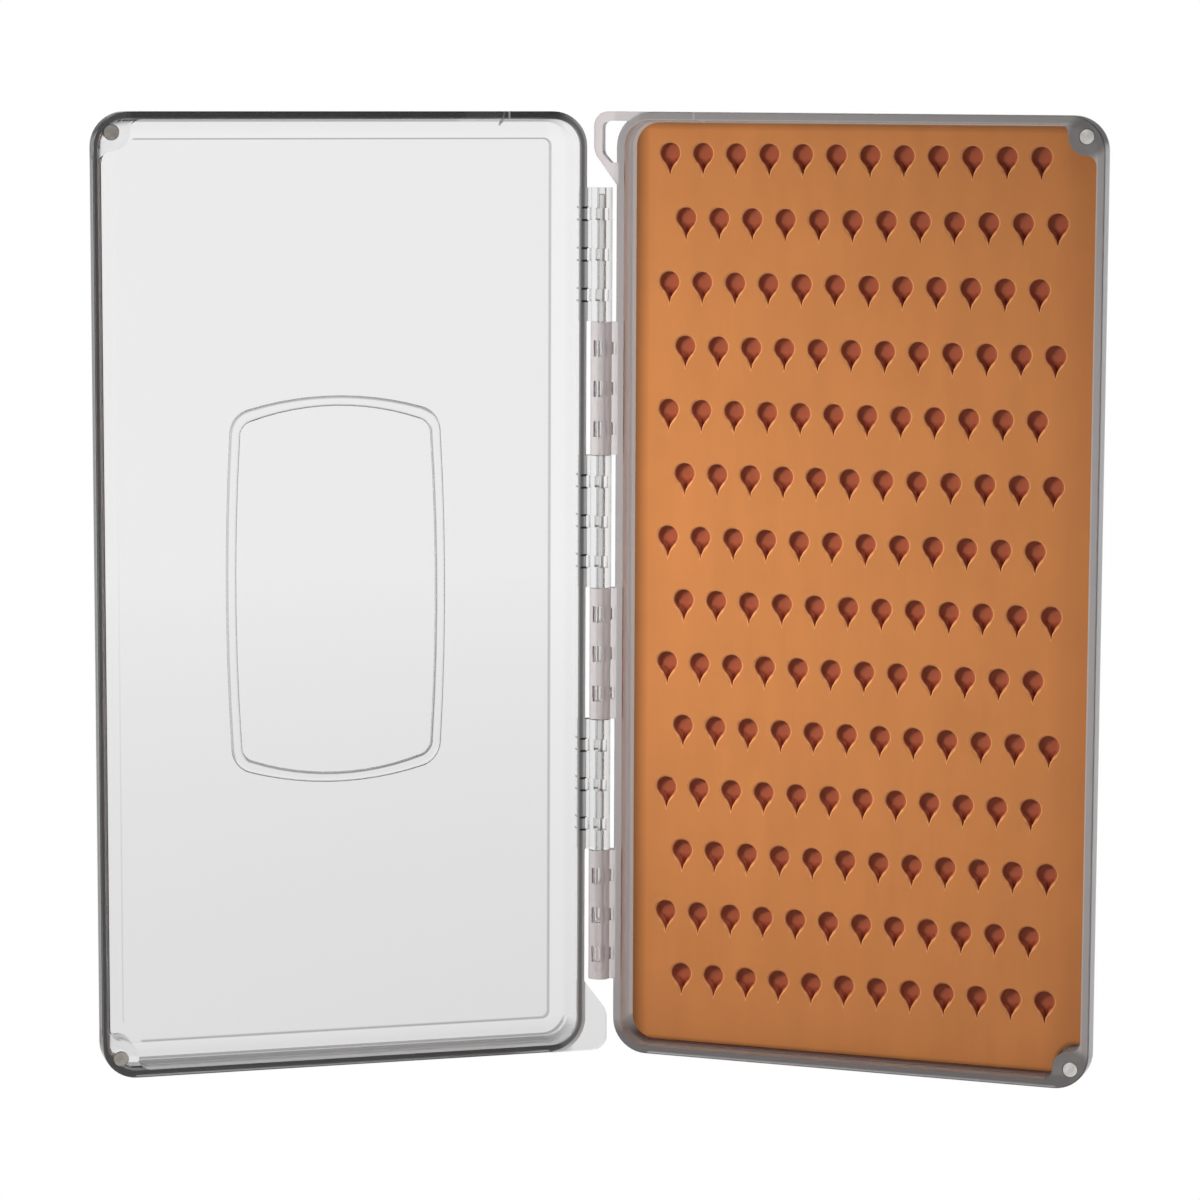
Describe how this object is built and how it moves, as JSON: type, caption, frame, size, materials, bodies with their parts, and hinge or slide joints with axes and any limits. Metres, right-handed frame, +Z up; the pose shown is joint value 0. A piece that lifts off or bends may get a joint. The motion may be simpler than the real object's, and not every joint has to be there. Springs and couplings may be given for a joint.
{
  "type": "fly box",
  "caption": "Slim hinged fishing fly box standing open: clear lid and smoke tray on a pinned knuckle hinge, with a slotted silicone insert, corner magnets and a lanyard loop.",
  "frame": {"origin": "bottom centre of the bounding box of the box as it stands open in the picture, on the plane it stands on", "axes": "+Z up along the hinge; +Y square to the tray, from its open face to its flat back; +X from the hinge side of the tray towards its far wall, with the open lid on the -X side"},
  "size_m": [0.182, 0.0658, 0.1841],
  "materials": {
    "smoke_plastic": "glossy translucent smoke grey",
    "clear_plastic": "glossy clear",
    "pin_steel": "drawn",
    "orange_silicone": "satin",
    "adhesive_sheet": "matte",
    "magnet_plating": "bright plated"
  },
  "bodies": {
    "base": {"base_tray": "smoke_plastic", "hinge_pin": "pin_steel", "silicone_insert": "orange_silicone", "insert_adhesive": "adhesive_sheet", "base_magnet_upper": "magnet_plating", "base_magnet_lower": "magnet_plating"},
    "lid": {"lid_cover": "clear_plastic", "lid_magnet_upper": "magnet_plating", "lid_magnet_lower": "magnet_plating"}
  },
  "joints": [
    {"name": "lid_hinge", "type": "hinge", "parent": "base", "child": "lid", "pos_m": [-0.00747, 0.02375, 0.09208], "axis": [0, 0, 1], "range_deg": [-35.29, 144.71]}
  ]
}
